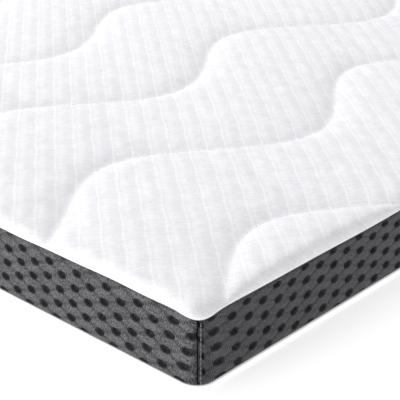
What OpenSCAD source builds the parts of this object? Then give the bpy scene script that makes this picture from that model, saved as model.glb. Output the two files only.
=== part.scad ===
// Thin memory foam mattress: a zipped cover with a quilted top panel and a
// spacer-mesh border, around two foam slabs in a jersey liner.
// X is the width, Y the length, Z up. The origin is the middle of the underside.

/* [Mattress] */
// Width of the mattress
width = 900; // [600:50:1800]
// Length of the mattress
length = 2000; // [1200:50:2200]
// Radius of the corners seen from above
corner_r = 15; // [12:1:40]

/* [Foam] */
// Thickness of the support foam core
core_h = 25; // [20:1:120]
// Thickness of the memory foam layer
memory_h = 25; // [20:1:80]
// Thickness of the jersey liner around the foam
liner_t = 0.8; // [0.5:0.1:2]
// Number of channels across the top of the support core
core_channels = 9; // [3:2:15]
// Width of a channel
core_channel_w = 6; // [3:1:12]
// Depth of a channel
core_channel_depth = 6; // [3:1:12]

/* [Cover] */
// Thickness of the base fabric
base_t = 1.2; // [0.8:0.1:2]
// Height of the lip that the base fabric turns up
lip_h = 4.8; // [4:0.1:6]
// Thickness of the spacer-mesh border
border_t = 5; // [5:0.1:5.4]
// Thickness of the scrim under the wadding
scrim_t = 0.4; // [0.2:0.1:1]
// Thickness of the wadding in the top panel
wadding_t = 4.2; // [3:0.1:12]
// Thickness of the knitted top fabric
face_t = 2.6; // [2:0.1:4]

/* [Quilting] */
// Distance between neighbouring quilting lines
wave_pitch = 150; // [100:1:250]
// Length of one wave of a quilting line
wave_length = 310; // [200:1:500]
// Height of a wave above its middle line
wave_height = 37; // [10:1:60]
// Distance of the first middle line from the right-hand edge
wave_margin = 16; // [10:1:60]
// Distance from the front edge at which the lines first cross their middle
wave_start = 43; // [0:1:200]
// Width of the groove that a quilting line pulls in
groove_w = 6; // [4:0.5:10]
// Depth of that groove
groove_depth = 1.4; // [0.8:0.1:1.6]

/* [Zip] */
// Height of the middle of the zip above the underside
zip_z = 12; // [12:0.1:12.5]
// Length of the slider
slider_l = 11; // [9:1:12]
// Length of the pull tab
tab_l = 18; // [12:1:18]
// Width of the pull tab
tab_w = 4.6; // [4:0.1:6]

/* [Label] */
// Width of the blank care label
label_w = 60; // [30:1:90]
// Height of the label
label_h = 26; // [15:1:26]
// Distance of the label's middle from the middle of the back
label_x = 200; // [-200:10:200]

/* [Hidden] */
$fn = 48;

// How far a cutting shape reaches past the face that it cuts
eps = 0.1;

// Levels above the underside
foam_z = base_t + liner_t;
memory_z = foam_z + core_h;
seam_z = memory_z + memory_h + liner_t;
wadding_z = seam_z + scrim_t;
face_z = wadding_z + wadding_t;
top_z = face_z + face_t;
groove_z = top_z - groove_depth;

// Depths of the layers, measured in from the outer side of the cover
lip_t = 1.2;
rim_t = 1.6;
liner_in = 6.5;
foam_in = liner_in + liner_t;

// Seams: a small groove round the cover that holds a thread
seam_groove_h = 0.8;
seam_in = 0.5;
seam_deep = 1.5;
corner_gap = 1.4;
corner_gap_deep = 2;
corner_thread_r = 0.6;
corner_thread_in = 0.8;
corner_mid_x = width / 2 - corner_r;
corner_mid_y = length / 2 - corner_r;

// Quilting lines
thread_w = 0.8;
thread_h = 0.6;
steps_per_wave = 10;
wave_lines = ceil((width - wave_margin) / wave_pitch);
wave_steps = ceil(length / wave_length * steps_per_wave);
wave_ys = [for (i = [0 : wave_steps]) length * (i / wave_steps - 0.5)];

// Support core
core_channel_pitch = length / (core_channels + 1);

// Zip, depths in from the outer side of the cover
tape_in = 4.6;
tape_t = 0.5;
coil_in = 3;
plate_in = 1.7;
plate_t = 1;
back_plate_in = 5.4;
back_plate_t = 0.8;
tab_in = 0.55;
tab_t = 0.9;
pin_in = tab_in + tab_t / 2;
pin_r = 0.35;
pin_hole_r = 0.38;
lug_r = 0.7;

// Zip, heights: the window in the border and what lies in it
window_top = 17;
coil_gap = 0.9;
coil_w = 2.6;
tape_gap = 1.2;
stitch_w = 0.5;
stitch_t = 0.2;
stitch_edge = 1.2;

// Zip, lengths along its sides
window_end = corner_r;
tape_end = 14;
stop_l = 2.4;
coil_end = window_end + tape_end + stop_l;
slider_clear = 0.4;
slider_y = coil_end + slider_clear + slider_l / 2 - length / 2;

// Slider and pull tab
slider_w = 7.2;
slider_taper = 1;
blade_w = 0.3;
blade_l = 2.5;
tab_root_w = 2;
tab_root_l = 1.6;
tab_hole_r = 1.2;
lug_w = 1;
lug_z = tab_root_w / 2 + 0.2;
pin_l = 2 * (lug_z + lug_w);

// Label
label_t = 0.4;
label_z = 24;

// X of quilting line k, counted from the right-hand edge, at the given Y
function wave_x(k, y) =
    width / 2 - wave_margin - k * wave_pitch
    - wave_height * sin(360 * (y + length / 2 - wave_start) / wave_length);

// Outline of the cover, moved in by d
module plan(d) {
    r = corner_r - d;
    square([2 * (corner_mid_x + r), 2 * corner_mid_y], center = true);
    square([2 * corner_mid_x, 2 * (corner_mid_y + r)], center = true);
    for (x = [-1, 1])
        for (y = [-1, 1])
            translate([x * corner_mid_x, y * corner_mid_y])
                circle(r);
}

// Full layer inside the depth d, from z upwards
module slab(d, z, h) {
    translate([0, 0, z])
        linear_extrude(h)
            plan(d);
}

// Wall between the depths d0 and d1, from z0 to z1
module wall(d0, d1, z0, z1) {
    translate([0, 0, z0])
        linear_extrude(z1 - z0)
            difference() {
                plan(d0);
                plan(d1);
            }
}

// Prism over one side of the mattress, cut at 45 degrees at both of its corners
module side_sector(half_across, half_along, turn) {
    reach = corner_r + 5;
    rotate([0, 0, turn])
        translate([0, 0, -eps])
            linear_extrude(top_z + 2 * eps)
                polygon([
                    [-half_across - eps, -half_along - eps],
                    [half_across + eps, -half_along - eps],
                    [half_across - reach, -half_along + reach],
                    [-half_across + reach, -half_along + reach]
                ]);
}

// The left and back sides, shortened at the two far ends of the zip
module zip_region(end, z0, z1) {
    deep = 12;
    translate([-width / 2 - eps, -length / 2 + end, z0])
        cube([deep, length - end + eps, z1 - z0]);
    translate([-width / 2 - eps, length / 2 - deep, z0])
        cube([width - end + eps, deep + eps, z1 - z0]);
}

// One strip along the zip, between two depths and two heights
module zip_run(end, d0, d1, z0, z1) {
    intersection() {
        wall(d0, d1, z0, z1);
        zip_region(end, z0 - eps, z1 + eps);
    }
}

module at_corners() {
    for (x = [-1, 1])
        for (y = [-1, 1])
            translate([x * corner_mid_x, y * corner_mid_y, 0])
                rotate([0, 0, atan2(y, x)])
                    children();
}

// Vertical slots at the four corners, where the border strips meet
module corner_slots() {
    at_corners()
        translate([corner_r - corner_gap_deep, -corner_gap / 2, -eps])
            cube([corner_r, corner_gap, top_z]);
}

module border_strip(half_across, half_along, turn) {
    difference() {
        intersection() {
            wall(0, border_t, lip_h, seam_z);
            side_sector(half_across, half_along, turn);
        }
        wall(-eps, seam_deep, lip_h - eps, lip_h + seam_groove_h);
        corner_slots();
    }
}

// Band of width w that follows quilting line k
module wave_band(k, w, z, h) {
    last = len(wave_ys) - 1;
    translate([0, 0, z])
        linear_extrude(h)
            polygon(concat(
                [for (y = wave_ys) [wave_x(k, y) - w / 2, y]],
                [for (i = [last : -1 : 0]) [wave_x(k, wave_ys[i]) + w / 2, wave_ys[i]]]
            ));
}

// Places a piece of the slider: X is the depth, Y along the zip, Z up
module on_zip() {
    translate([-width / 2, slider_y, zip_z])
        children();
}

// Flat plate of thickness t at the depth d, drawn as seen from outside
module upright_plate(d, t) {
    translate([d, 0, 0])
        rotate([0, 90, 0])
            linear_extrude(t)
                children();
}

module slider_outline() {
    end_w = slider_w - 2 * slider_taper;
    polygon([
        [-end_w / 2, -slider_l / 2],
        [end_w / 2, -slider_l / 2],
        [slider_w / 2, 0],
        [end_w / 2, slider_l / 2],
        [-end_w / 2, slider_l / 2],
        [-slider_w / 2, 0]
    ]);
}

module base_fabric() {
    color("white") {
        slab(0, 0, base_t);
        wall(0, lip_t, base_t, lip_h);
    }
}

module border_front() {
    color("dimgray")
        border_strip(width / 2, length / 2, 0);
}

module border_right() {
    color("dimgray")
        border_strip(length / 2, width / 2, 90);
}

module border_back() {
    color("dimgray")
        difference() {
            border_strip(width / 2, length / 2, 180);
            zip_region(window_end, 0, window_top);
            translate([label_x - label_w / 2, length / 2 - label_t, label_z])
                cube([label_w, 2 * label_t, label_h]);
        }
}

module border_left() {
    color("dimgray")
        difference() {
            border_strip(length / 2, width / 2, 270);
            zip_region(window_end, 0, window_top);
        }
}

module top_face() {
    color("white")
        difference() {
            slab(0, seam_z, top_z - seam_z);
            slab(rim_t, seam_z - eps, face_z - seam_z + eps);
            wall(-eps, seam_deep, seam_z - eps, seam_z + seam_groove_h);
            for (k = [0 : wave_lines - 1])
                wave_band(k, groove_w, groove_z, groove_depth + eps);
        }
}

module top_wadding() {
    color("whitesmoke")
        slab(rim_t, wadding_z, wadding_t);
}

module top_backing() {
    color("gainsboro")
        slab(rim_t, seam_z, scrim_t);
}

module quilting_threads() {
    color("white")
        intersection() {
            slab(rim_t, groove_z, thread_h);
            for (k = [0 : wave_lines - 1])
                wave_band(k, thread_w, groove_z - eps, thread_h + 2 * eps);
        }
}

module corner_seam_threads() {
    color("gray")
        at_corners()
            translate([corner_r - corner_thread_in, 0, lip_h])
                cylinder(h = seam_z - lip_h, r = corner_thread_r);
}

module top_seam_thread() {
    color("white")
        wall(seam_in, seam_deep, seam_z, seam_z + seam_groove_h);
}

module bottom_seam_thread() {
    color("white")
        difference() {
            wall(seam_in, seam_deep, lip_h, lip_h + seam_groove_h);
            corner_slots();
            zip_region(window_end, 0, window_top);
        }
}

module zip_stitching() {
    color("dimgray")
        for (z = [lip_h + stitch_edge, window_top - stitch_edge - stitch_w])
            zip_run(window_end, tape_in - stitch_t, tape_in, z, z + stitch_w);
}

module zip_tape_upper() {
    color("dimgray")
        zip_run(window_end, tape_in, tape_in + tape_t, zip_z + tape_gap / 2, window_top);
}

module zip_tape_lower() {
    color("dimgray")
        zip_run(window_end, tape_in, tape_in + tape_t, base_t, zip_z - tape_gap / 2);
}

module zip_coil_upper() {
    z = zip_z + coil_gap / 2;
    color("darkslategray")
        zip_run(coil_end, coil_in, tape_in, z, z + coil_w);
}

module zip_coil_lower() {
    z = zip_z - coil_gap / 2 - coil_w;
    color("darkslategray")
        zip_run(coil_end, coil_in, tape_in, z, z + coil_w);
}

module zip_slider_body() {
    color("silver")
        on_zip()
            difference() {
                union() {
                    upright_plate(plate_in, plate_t)
                        slider_outline();
                    upright_plate(back_plate_in, back_plate_t)
                        slider_outline();
                    translate([plate_in + plate_t / 2, -slider_l / 2, -blade_w / 2])
                        cube([back_plate_in - plate_in, blade_l, blade_w]);
                    for (z = [lug_z, -lug_z - lug_w])
                        translate([pin_in, 0, z]) {
                            cylinder(h = lug_w, r = lug_r);
                            translate([0, -lug_r, 0])
                                cube([plate_in + plate_t / 2 - pin_in, 2 * lug_r, lug_w]);
                        }
                }
                translate([pin_in, 0, -slider_w / 2])
                    cylinder(h = slider_w, r = pin_hole_r);
            }
}

module zip_pull_tab() {
    end_r = tab_w / 2;
    color("silver")
        on_zip() {
            translate([pin_in, 0, -pin_l / 2])
                cylinder(h = pin_l, r = pin_r);
            upright_plate(tab_in, tab_t)
                difference() {
                    union() {
                        translate([-tab_root_w / 2, 0])
                            square([tab_root_w, tab_root_l + eps]);
                        translate([-tab_w / 2, tab_root_l])
                            square([tab_w, tab_l - tab_root_l - end_r]);
                        translate([0, tab_l - end_r])
                            circle(end_r);
                    }
                    translate([0, tab_l - end_r])
                        circle(tab_hole_r);
                }
        }
}

// One clamp at the closed end of each coil
module zip_top_stop() {
    color("silver")
        for (z = [coil_gap / 2, -coil_gap / 2 - coil_w])
            translate([coil_in - width / 2, coil_end - stop_l - length / 2, zip_z + z])
                cube([tape_in - coil_in, stop_l, coil_w]);
}

// One clamp across both coils at the open end
module zip_bottom_stop() {
    stop_h = coil_gap + 2 * coil_w;
    color("silver")
        translate([width / 2 - coil_end, length / 2 - tape_in, zip_z - stop_h / 2])
            cube([2 * stop_l, tape_in - coil_in, stop_h]);
}

module care_label() {
    color("white")
        translate([label_x - label_w / 2, length / 2 - label_t, label_z])
            cube([label_w, label_t, label_h]);
}

module inner_liner() {
    color("whitesmoke")
        difference() {
            slab(liner_in, base_t, seam_z - base_t);
            slab(foam_in, foam_z, core_h + memory_h);
        }
}

module memory_foam_layer() {
    color("lightyellow")
        slab(foam_in, memory_z, memory_h);
}

module support_foam_core() {
    color("lightblue")
        difference() {
            slab(foam_in, foam_z, core_h);
            for (i = [1 : core_channels])
                translate([
                    -width / 2,
                    i * core_channel_pitch - (length + core_channel_w) / 2,
                    memory_z - core_channel_depth
                ])
                    cube([width, core_channel_w, core_channel_depth + eps]);
        }
}

base_fabric();
border_front();
border_right();
border_back();
border_left();
top_face();
top_wadding();
top_backing();
quilting_threads();
corner_seam_threads();
top_seam_thread();
bottom_seam_thread();
zip_stitching();
zip_tape_upper();
zip_tape_lower();
zip_coil_upper();
zip_coil_lower();
zip_slider_body();
zip_pull_tab();
zip_top_stop();
zip_bottom_stop();
care_label();
inner_liner();
memory_foam_layer();
support_foam_core();
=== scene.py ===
"""Looks of the thin memory foam mattress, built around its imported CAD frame."""
import math

import bmesh
import bpy
import numpy as np
from mathutils import Matrix, Vector


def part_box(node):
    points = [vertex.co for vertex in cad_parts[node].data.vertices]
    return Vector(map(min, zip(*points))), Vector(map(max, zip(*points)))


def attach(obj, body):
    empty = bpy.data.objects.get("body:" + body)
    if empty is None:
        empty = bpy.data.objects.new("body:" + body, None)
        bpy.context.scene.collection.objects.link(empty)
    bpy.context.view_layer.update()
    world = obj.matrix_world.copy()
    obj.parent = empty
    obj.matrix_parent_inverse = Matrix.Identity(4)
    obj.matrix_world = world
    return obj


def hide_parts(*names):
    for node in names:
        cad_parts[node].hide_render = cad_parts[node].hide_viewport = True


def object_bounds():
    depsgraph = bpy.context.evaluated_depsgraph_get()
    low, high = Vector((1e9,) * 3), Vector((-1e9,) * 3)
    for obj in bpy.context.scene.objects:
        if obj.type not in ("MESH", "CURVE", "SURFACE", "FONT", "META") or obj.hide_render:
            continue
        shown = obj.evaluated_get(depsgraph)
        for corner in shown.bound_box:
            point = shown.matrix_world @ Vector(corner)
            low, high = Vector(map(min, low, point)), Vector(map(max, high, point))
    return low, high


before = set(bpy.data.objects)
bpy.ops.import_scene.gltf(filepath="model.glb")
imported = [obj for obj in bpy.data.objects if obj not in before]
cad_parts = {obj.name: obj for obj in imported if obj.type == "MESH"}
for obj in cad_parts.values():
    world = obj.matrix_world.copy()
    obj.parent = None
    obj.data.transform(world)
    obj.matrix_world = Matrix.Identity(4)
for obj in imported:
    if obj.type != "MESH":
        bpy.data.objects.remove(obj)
cad_low, cad_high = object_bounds()

MM = 0.001

# ---------------------------------------------------------------- dimensions
# Sizes that the frame gives, in metres.
HALF_W = (cad_high.x - cad_low.x) / 2
HALF_L = (cad_high.y - cad_low.y) / 2
TOP_Z = cad_high.z
SEAM_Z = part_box("border_front")[1].z
LIP_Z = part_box("border_front")[0].z
FOOT_Z = LIP_Z - 1.9 * MM
WINDOW_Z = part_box("zip_tape_upper")[1].z
ZIP_Z = (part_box("zip_slider_body")[0].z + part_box("zip_slider_body")[1].z) / 2
TAPE_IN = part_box("zip_tape_upper")[0].x + HALF_W
COIL_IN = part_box("zip_coil_upper")[0].x + HALF_W
FOAM_IN = HALF_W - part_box("memory_foam_layer")[1].x
LINER_IN = HALF_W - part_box("inner_liner")[1].x
CORNER_R = 15 * MM
BORDER_T = 5 * MM

# Quilting lines: waves that run along the length.
WAVE_PITCH = 150 * MM
WAVE_LENGTH = 310 * MM
WAVE_HEIGHT = 37 * MM
WAVE_MARGIN = 16 * MM
WAVE_START = 43 * MM
WAVE_LINES = 6

# The knit's square lattice, turned away from the length of the mattress.
CELL = 14.7 * MM
CELL_TURN = math.radians(49)
CELL_PHASE = 6 * MM
CELL_ORIGIN = HALF_L * math.sin(CELL_TURN) - HALF_W * math.cos(CELL_TURN)
CELL_WANDER = 0.028
CELL_WANDER_TURNS = 2.1

# Relief of the quilted face.
CREASE_Z = SEAM_Z + 2.4 * MM
CREASE = 3.9 * MM
CREASE_REACH = 11 * MM
CROWN = 1.6 * MM
RIB_ACROSS = 0.6 * MM
RIB_ALONG = 0.12 * MM
RIB_RISE = 0.24
EDGE_ROLL = 8.5 * MM
ROLL_POWER = 2.2
SIM_STEP = 10 * MM
SIM_FRAMES = 20


# ---------------------------------------------------------------- small tools
def smooth(low, high, x):
    """0 below low, 1 above high, and a smooth step between."""
    t = np.clip((x - low) / (high - low), 0, 1)
    return t * t * (3 - 2 * t)


def add_object(name, mesh, *materials):
    """Puts a finished mesh in the scene, smoothly shaded."""
    mesh.shade_smooth()
    for material in materials:
        mesh.materials.append(material)
    obj = bpy.data.objects.new(name, mesh)
    bpy.context.scene.collection.objects.link(obj)
    return obj


def new_mesh(name, points, faces, *materials):
    """An object from points (n, 3) and faces, a list or an (n, 3 or 4) array."""
    mesh = bpy.data.meshes.new(name)
    points = np.asarray(points, np.float32)
    if isinstance(faces, np.ndarray):
        count, corners = faces.shape
        mesh.vertices.add(len(points))
        mesh.vertices.foreach_set("co", points.ravel())
        mesh.loops.add(count * corners)
        mesh.loops.foreach_set("vertex_index", faces.astype(np.int32).ravel())
        mesh.polygons.add(count)
        mesh.polygons.foreach_set("loop_start", np.arange(count, dtype=np.int32) * corners)
        mesh.update(calc_edges=True)
    else:
        mesh.from_pydata(points.tolist(), [], faces)
    return add_object(name, mesh, *materials)


def xyz(x, y, z):
    """Points (n, 3) from three coordinates, each an array or one number."""
    return np.stack(np.broadcast_arrays(x, y, z), -1)


def grid_faces(n, m):
    """The quads of an n by m grid of points."""
    index = np.arange(n * m).reshape(n, m)
    return np.stack([index[:-1, :-1], index[1:, :-1], index[1:, 1:], index[:-1, 1:]], -1).reshape(-1, 4)


def set_uv(obj, uv):
    """Gives every vertex its place on the flat cloth, in metres."""
    mesh = obj.data
    loops = np.zeros(len(mesh.loops), np.int32)
    mesh.loops.foreach_get("vertex_index", loops)
    layer = mesh.uv_layers.new(name="cloth")
    layer.data.foreach_set("uv", np.asarray(uv, np.float32)[loops].ravel())


def get_points(obj):
    points = np.zeros(len(obj.data.vertices) * 3, np.float32)
    obj.data.vertices.foreach_get("co", points)
    return points.reshape(-1, 3).astype(float)


def set_points(obj, points):
    obj.data.vertices.foreach_set("co", np.asarray(points, np.float32).ravel())
    obj.data.update()


def piece(obj, slot, *nodes, body="mattress"):
    """Puts a finished piece on its body, in place of its CAD nodes; slot is not used."""
    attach(obj, body)
    if nodes:
        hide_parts(*nodes)
    return obj


# ---------------------------------------------------------------- the cover's outline
# Each side: outward direction, direction along it, half the mattress across it
# and half its length. Sides meet in the middle of the rounded corners.
SIDES = {
    "front": ((0, -1), (1, 0), HALF_L, HALF_W),
    "right": ((1, 0), (0, 1), HALF_W, HALF_L),
    "back": ((0, 1), (-1, 0), HALF_L, HALF_W),
    "left": ((-1, 0), (0, -1), HALF_W, HALF_L),
}


def side_reach(side):
    """Distance along the outline from the middle of a side to its corner seam."""
    return SIDES[side][3] - CORNER_R + CORNER_R * math.pi / 4


def on_side(side, u, depth, z):
    """Points at u along a side's outline, at a depth in from it, at height z."""
    out, along, across, half = SIDES[side]
    u, depth, z = np.broadcast_arrays(u, depth, z)
    straight = half - CORNER_R
    past = np.maximum(np.abs(u) - straight, 0) / CORNER_R
    sign = np.sign(u)
    r = CORNER_R - depth
    go_out = across - CORNER_R + r * np.cos(past)
    go_along = np.clip(u, -straight, straight) + sign * r * np.sin(past)
    return xyz(out[0] * go_out + along[0] * go_along, out[1] * go_out + along[1] * go_along, z)


def round_the_cover(step):
    """(side, u) pairs that go once round the outline, about a step apart."""
    found = []
    for side in SIDES:
        reach = side_reach(side)
        n = round(2 * reach / step)
        found += [(side, -reach + 2 * reach * (i + 0.5) / n) for i in range(n)]
    return found


def depth_and_walk(x, y):
    """How far points lie in from the outline, and how far round it they are."""
    ax, ay = np.abs(x), np.abs(y)
    cx, cy = HALF_W - CORNER_R, HALF_L - CORNER_R
    beyond_x, beyond_y = ax - cx, ay - cy
    corner = (beyond_x > 0) & (beyond_y > 0)
    depth = np.minimum(HALF_W - ax, HALF_L - ay)
    depth = np.where(corner, CORNER_R - np.hypot(beyond_x, beyond_y), depth)
    walk = np.where(HALF_W - ax < HALF_L - ay, y * np.sign(x), -x * np.sign(y) * 1.7)
    return depth, walk


CORNER_SAG = 1.3 * MM
CORNER_POINT = 2.8 * MM
CORNER_SAG_REACH = 13.5 * MM
LONG_SAG = 1.4 * MM


def fade(distance, reach):
    """A bell: 1 at no distance, and nearly 0 past twice the reach."""
    return np.exp(-((distance / reach) ** 2))


def settle(points):
    """Lets the cover lie as cloth does: its seams wander and its sides swell."""
    p = np.array(points, float)
    x_in, y_in = HALF_W - np.abs(p[:, 0]), HALF_L - np.abs(p[:, 1])
    depth, walk = depth_and_walk(p[:, 0], p[:, 1])
    near = np.exp(-np.maximum(depth, 0) / (45 * MM))
    ends = np.clip(smooth(0, 60 * MM, y_in) + smooth(0, 60 * MM, x_in) - 1, 0, 1)
    wander = 0.75 * np.sin(walk / 0.031 + 0.8) + 0.55 * np.sin(walk / 0.0173 + 2.1)
    high = smooth(0.5 * SEAM_Z, SEAM_Z, p[:, 2])
    p[:, 2] += MM * wander * near * high * (0.35 + 0.65 * ends)
    swell = np.sin(math.pi * np.clip((p[:, 2] - LIP_Z) / (SEAM_Z - LIP_Z), 0, 1))
    swell = swell * (0.7 + 0.5 * np.sin(walk / 0.047 + 1.0)) * ends
    p[:, 2] -= LONG_SAG * smooth(SEAM_Z - 9 * MM, SEAM_Z, p[:, 2]) * fade(x_in, 9 * MM)
    at_corner = fade(np.hypot(x_in, y_in), CORNER_SAG_REACH)
    p[:, 2] -= CORNER_SAG * smooth(LIP_Z, SEAM_Z, p[:, 2]) * at_corner
    point = CORNER_POINT * (0.35 + 0.65 * smooth(LIP_Z, SEAM_Z, p[:, 2])) * at_corner
    p[:, :2] += point[:, None] * np.sign(p[:, :2])
    side_x = (HALF_W - np.abs(p[:, 0])) < (HALF_L - np.abs(p[:, 1]))
    push = 0.9 * MM * swell * np.exp(-np.maximum(depth, 0) / (12 * MM))
    p[:, 0] += np.where(side_x, push * np.sign(p[:, 0]), 0)
    p[:, 1] += np.where(side_x, 0, push * np.sign(p[:, 1]))
    return p


# ---------------------------------------------------------------- quilting
def wave_turn(y):
    return 2 * math.pi * (y + HALF_L - WAVE_START) / WAVE_LENGTH


def wave_x(k, y):
    return HALF_W - WAVE_MARGIN - k * WAVE_PITCH - WAVE_HEIGHT * np.sin(wave_turn(y))


def wave_slope(y):
    return -WAVE_HEIGHT * 2 * math.pi / WAVE_LENGTH * np.cos(wave_turn(y))


def quilt_distance(x, y):
    """Distance from the nearest quilting line."""
    k = np.clip(np.round((wave_x(0, y) - x) / WAVE_PITCH), 0, WAVE_LINES - 1)
    across = x - (wave_x(0, y) - k * WAVE_PITCH)
    return np.abs(across) / np.sqrt(1 + wave_slope(y) ** 2)


def cell_places(x, y):
    """Places on the knit's lattice, counted in cells across and along its ribs."""
    c, s = math.cos(CELL_TURN), math.sin(CELL_TURN)
    dx, dy = x - HALF_W, y + HALF_L
    across = (c * dx + s * dy + CELL_PHASE) / CELL
    along = (-s * dx + c * dy) / CELL
    return across + CELL_WANDER * np.sin(along * CELL_WANDER_TURNS), along


def shingle(t):
    """The profile of the knit's ribs: a quick rise, then a slow fall to the next."""
    f = t - np.floor(t)
    return smooth(0, RIB_RISE, f) * (1 - f)


def simulate_lanes():
    """Blows up the cover between its quilting lines, as wadding does.

    Returns the height on a coarse grid, from 0 at the lines to about 1 in the
    lanes, with the grid's places across and along.
    """
    xs = np.linspace(-HALF_W, HALF_W, round(2 * HALF_W / SIM_STEP) + 1)
    ys = np.linspace(-HALF_L, HALF_L, round(2 * HALF_L / SIM_STEP) + 1)
    x, y = np.meshgrid(xs, ys, indexing="ij")
    distance = quilt_distance(x, y)
    cloth = new_mesh("lanes", xyz(x, y, 0.0).reshape(-1, 3), grid_faces(*x.shape))
    rim = (x <= xs[0]) | (x >= xs[-1]) | (y <= ys[0]) | (y >= ys[-1])
    held = np.flatnonzero((rim | (distance < 0.6 * SIM_STEP)).ravel()).tolist()
    cloth.vertex_groups.new(name="held").add(held, 1.0, "REPLACE")
    modifier = cloth.modifiers.new("cloth", "CLOTH")
    settings = modifier.settings
    settings.vertex_group_mass = "held"
    settings.quality = 4
    settings.mass = 0.3
    settings.tension_stiffness = settings.compression_stiffness = 25
    settings.shear_stiffness = 8
    settings.bending_stiffness = 0.6
    settings.shrink_min = -0.006
    settings.use_pressure = True
    settings.uniform_pressure_force = 4
    settings.effector_weights.gravity = 0
    modifier.collision_settings.use_collision = False
    modifier.collision_settings.use_self_collision = False
    scene = bpy.context.scene
    modifier.point_cache.frame_start, modifier.point_cache.frame_end = 1, SIM_FRAMES
    for number in range(1, SIM_FRAMES + 1):
        scene.frame_set(number)
    result = cloth.evaluated_get(bpy.context.evaluated_depsgraph_get()).to_mesh()
    moved = np.zeros(len(result.vertices) * 3, np.float32)
    result.vertices.foreach_get("co", moved)
    height = moved.reshape(*x.shape, 3)[:, :, 2].astype(float)
    scene.frame_set(1)
    bpy.data.objects.remove(cloth)
    crest = np.percentile(height, 90)
    print("lanes rise by", crest)
    return xs, ys, np.clip(height / max(crest, 1e-6), 0, 1.35)


def on_grid(xs, ys, values, x, y):
    """Reads a coarse grid between its points, smoothly."""
    fx = np.clip((x - xs[0]) / (xs[1] - xs[0]), 0, len(xs) - 1.001)
    fy = np.clip((y - ys[0]) / (ys[1] - ys[0]), 0, len(ys) - 1.001)
    i, j = fx.astype(int), fy.astype(int)
    a, b = fx - i, fy - j
    a, b = a * a * (3 - 2 * a), b * b * (3 - 2 * b)
    low = values[i, j] * (1 - a) + values[i + 1, j] * a
    high = values[i, j + 1] * (1 - a) + values[i + 1, j + 1] * a
    return low * (1 - b) + high * b


def quilt_height(x, y):
    """Height of the quilted face above the bottom of its creases."""
    d = quilt_distance(x, y)
    lane = CREASE * (1 - np.exp(-d / CREASE_REACH))
    lane = lane + CROWN * on_grid(*LANES, x, y) * smooth(0, 2 * CREASE_REACH, d)
    across, along = cell_places(x, y)
    keep = 0.3 + 0.7 * smooth(0, 12 * MM, d)
    ribs = RIB_ACROSS * shingle(across) + RIB_ALONG * np.sin(math.pi * along) ** 2
    rough = 0.3 * MM * np.sin(x / 0.037 + 1.3 * np.sin(y / 0.061)) * np.sin(y / 0.043 + 0.7)
    return lane + keep * ribs + rough


def top_height(x, y, depth):
    """Height of the top panel's face: it rolls down into the seam at its edge."""
    crest = CREASE_Z + quilt_height(x, y)
    inside = np.clip(depth / EDGE_ROLL, 0, 1)
    share = np.sqrt(np.maximum(1 - (1 - inside) ** ROLL_POWER, 0))
    return SEAM_Z + (crest - SEAM_Z) * share


# ---------------------------------------------------------------- panels
def axis_places(half, corner, step, edge):
    """Positions across a panel: even steps inside, then the rows of its edge."""
    inner = half - corner
    middle = np.linspace(-inner, inner, math.ceil(2 * inner / step) + 1)
    return np.concatenate([-inner - corner * edge[::-1], middle, inner + corner * edge])


def panel_grid(step, edge, inset=0.0, extra_y=()):
    """A grid over the mattress whose last rows follow the outline, moved in by inset.

    edge holds the last rows' places, from the start of the corner's curve (0)
    out to the outline (1). Returns x, y, the depth in from that outline, and faces.
    """
    corner = CORNER_R - inset
    xs = axis_places(HALF_W - inset, corner, step, edge)
    ys = axis_places(HALF_L - inset, corner, step, edge)
    ys = np.unique(np.concatenate([ys, extra_y]))
    x, y = np.meshgrid(xs, ys, indexing="ij")
    cx, cy = HALF_W - CORNER_R, HALF_L - CORNER_R
    a, b = np.abs(x) - cx, np.abs(y) - cy
    at_corner = (a > 0) & (b > 0)
    big = np.maximum(np.maximum(a, b), 1e-12)
    turn = np.where(a >= b, b / big, 2 - a / big) * math.pi / 4
    x = np.where(at_corner, np.sign(x) * (cx + big * np.cos(turn)), x)
    y = np.where(at_corner, np.sign(y) * (cy + big * np.sin(turn)), y)
    straight = np.minimum(HALF_W - np.abs(x), HALF_L - np.abs(y)) - inset
    depth = np.where(at_corner, corner - big, straight)
    return x.ravel(), y.ravel(), depth.ravel(), grid_faces(*x.shape), x.shape


def rim_loop(n, m):
    """Grid indices once round the rim of an n by m grid, anticlockwise."""
    index = np.arange(n * m).reshape(n, m)
    return np.concatenate([index[:-1, 0], index[-1, :-1], index[:0:-1, -1], index[0, :0:-1]])


def shell(name, over, under, faces, shape, material, rings=()):
    """A closed form between two grids of the same shape, joined at their rims.

    rings are rows of rim points that lie between the two, from over to under.
    """
    loop = rim_loop(*shape)
    size = len(over)
    points = [over, under, *rings]
    rows = [loop]
    start = 2 * size
    for ring in rings:
        rows.append(np.arange(start, start + len(loop)))
        start += len(loop)
    rows.append(loop + size)
    joined = [faces, faces[:, ::-1] + size]
    for above, below in zip(rows, rows[1:]):
        joined.append(np.stack([above, below, np.roll(below, -1), np.roll(above, -1)], -1))
    return new_mesh(name, np.concatenate(points), np.concatenate(joined), material)


def moved_in(points, by):
    """Points near the outline, moved in from it."""
    p = np.array(points, float)
    cx, cy = HALF_W - CORNER_R, HALF_L - CORNER_R
    a, b = np.maximum(np.abs(p[:, 0]) - cx, 0), np.maximum(np.abs(p[:, 1]) - cy, 0)
    far = np.maximum(np.hypot(a, b), 1e-9)
    p[:, 0] -= np.sign(p[:, 0]) * a / far * by
    p[:, 1] -= np.sign(p[:, 1]) * b / far * by
    return p


def flat_uv(obj):
    """Uses the places seen from above as the places on the cloth."""
    points = get_points(obj)
    set_uv(obj, np.stack([points[:, 0] - HALF_W, points[:, 1] + HALF_L], -1))


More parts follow.
